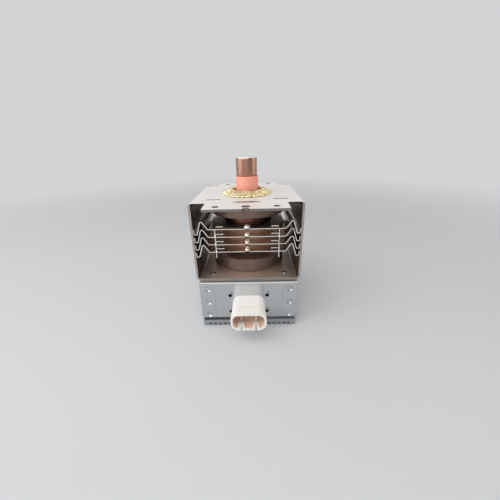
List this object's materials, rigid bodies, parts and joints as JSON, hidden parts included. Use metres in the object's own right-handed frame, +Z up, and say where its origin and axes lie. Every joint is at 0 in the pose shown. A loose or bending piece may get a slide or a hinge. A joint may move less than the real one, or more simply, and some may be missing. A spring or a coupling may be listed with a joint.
{
  "type": "microwave oven magnetron",
  "caption": "Microwave oven magnetron: folded cooling fins and ring magnets in a steel yoke, antenna with wire gasket on top, filter box with connector below.",
  "frame": {"origin": "on the tube axis at the underside of the filter box lid", "axes": "+Z up along the antenna, -Y towards the connector, X across the yoke walls"},
  "size_m": [0.0782, 0.1171, 0.1245],
  "materials": {
    "antenna_steel": "drawn steel, satin, with a bright flat top",
    "copper": "bare copper",
    "anode_copper": "bare copper, darkened",
    "salmon_ceramic": "matte pink alumina",
    "white_ceramic": "matte white ceramic",
    "seal_steel": "plated steel",
    "gasket_wire": "knitted brass wire",
    "plate_steel": "satin zinc plate",
    "yoke_steel": "satin zinc plate",
    "ferrite": "satin dark grey ferrite",
    "refractory_metal": "dull tungsten and molybdenum",
    "tinned_metal": "tin plate",
    "fin_aluminium": "bright rolled sheet",
    "tinplate": "bright tin plate with a mirror-like face",
    "connector_plastic": "warm white moulded plastic",
    "enamelled_copper": "enamelled wire"
  },
  "bodies": {
    "root": {"antenna_cap": "antenna_steel", "exhaust_tube": "copper", "output_ceramic": "salmon_ceramic", "antenna_lead": "copper", "output_seal": "seal_steel", "rf_gasket": "gasket_wire", "yoke_plate": "plate_steel", "yoke_frame": "yoke_steel", "upper_magnet": "ferrite", "lower_magnet": "ferrite", "anode_cylinder": "anode_copper", "upper_pole_piece": "seal_steel", "lower_pole_piece": "seal_steel", "upper_inner_strap": "copper", "upper_outer_strap": "copper", "lower_inner_strap": "copper", "lower_outer_strap": "copper", "anode_vane_1": "copper", "anode_vane_2": "copper", "anode_vane_3": "copper", "anode_vane_4": "copper", "anode_vane_5": "copper", "anode_vane_6": "copper", "anode_vane_7": "copper", "anode_vane_8": "copper", "anode_vane_9": "copper", "anode_vane_10": "copper", "filament": "refractory_metal", "upper_end_hat": "refractory_metal", "lower_end_hat": "refractory_metal", "centre_lead": "refractory_metal", "side_lead": "refractory_metal", "input_seal": "seal_steel", "stem_ceramic": "white_ceramic", "centre_tag": "tinned_metal", "side_tag": "tinned_metal", "cooling_fin_1": "fin_aluminium", "cooling_fin_2": "fin_aluminium", "cooling_fin_3": "fin_aluminium", "cooling_fin_4": "fin_aluminium", "filter_case": "tinplate", "filter_lid": "tinplate", "connector_housing": "connector_plastic", "capacitor_element": "white_ceramic", "carrier_plate": "tinned_metal", "terminal_blade_1": "tinned_metal", "terminal_blade_2": "tinned_metal", "choke_coil_1": "enamelled_copper", "choke_coil_2": "enamelled_copper", "choke_core_1": "ferrite", "choke_core_2": "ferrite"}
  },
  "joints": []
}
